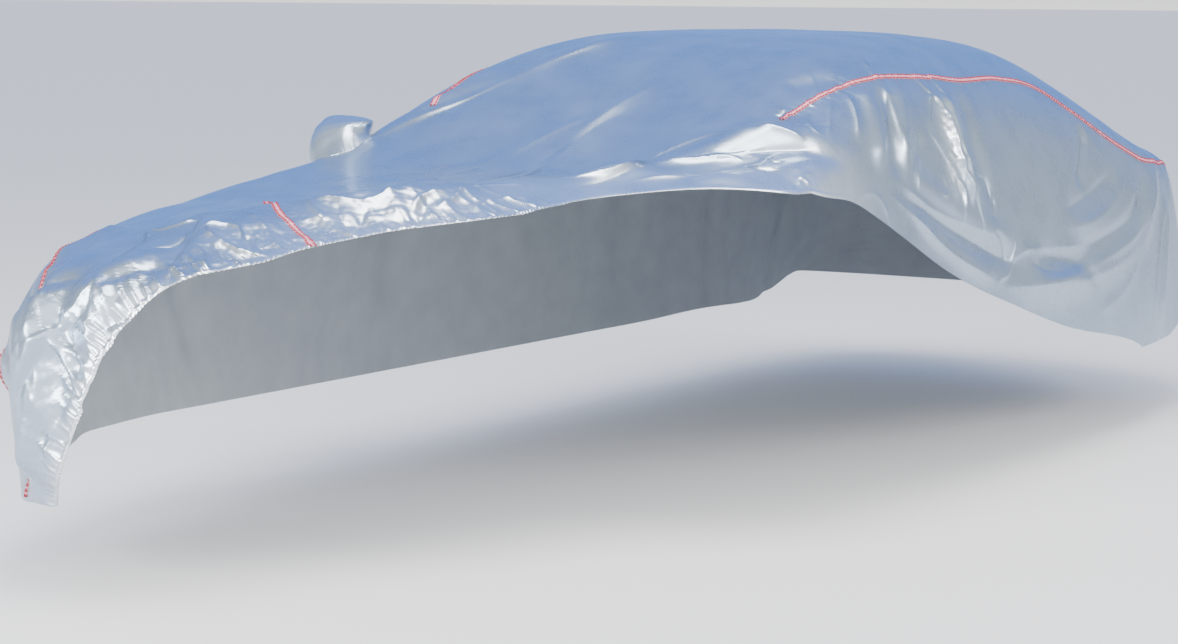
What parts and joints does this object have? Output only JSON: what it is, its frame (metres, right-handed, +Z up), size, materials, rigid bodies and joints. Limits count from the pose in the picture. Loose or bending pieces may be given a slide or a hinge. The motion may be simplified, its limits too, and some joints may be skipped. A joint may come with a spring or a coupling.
{
  "type": "car cover",
  "caption": "Fitted cover for a large saloon, of silver coated taffeta with red double-stitched roof seams and a mirror pouch, its elastic hem peeled back at the front left corner.",
  "frame": {"origin": "under the roof on the centre line, on the inner face of the cloth, where the cover is held up", "axes": "-Y towards the front of the cover, +Y towards its tail, +X towards its left side, +Z up"},
  "size_m": [2.0142, 5.1603, 1.2547],
  "materials": {
    "silver_taffeta": "satin silver coating",
    "red_seam_thread": "matt thread"
  },
  "bodies": {
    "root": {"top_panel": "silver_taffeta", "left_side_panel": "silver_taffeta", "right_side_panel": "silver_taffeta", "right_mirror_pouch": "silver_taffeta"}
  },
  "joints": []
}
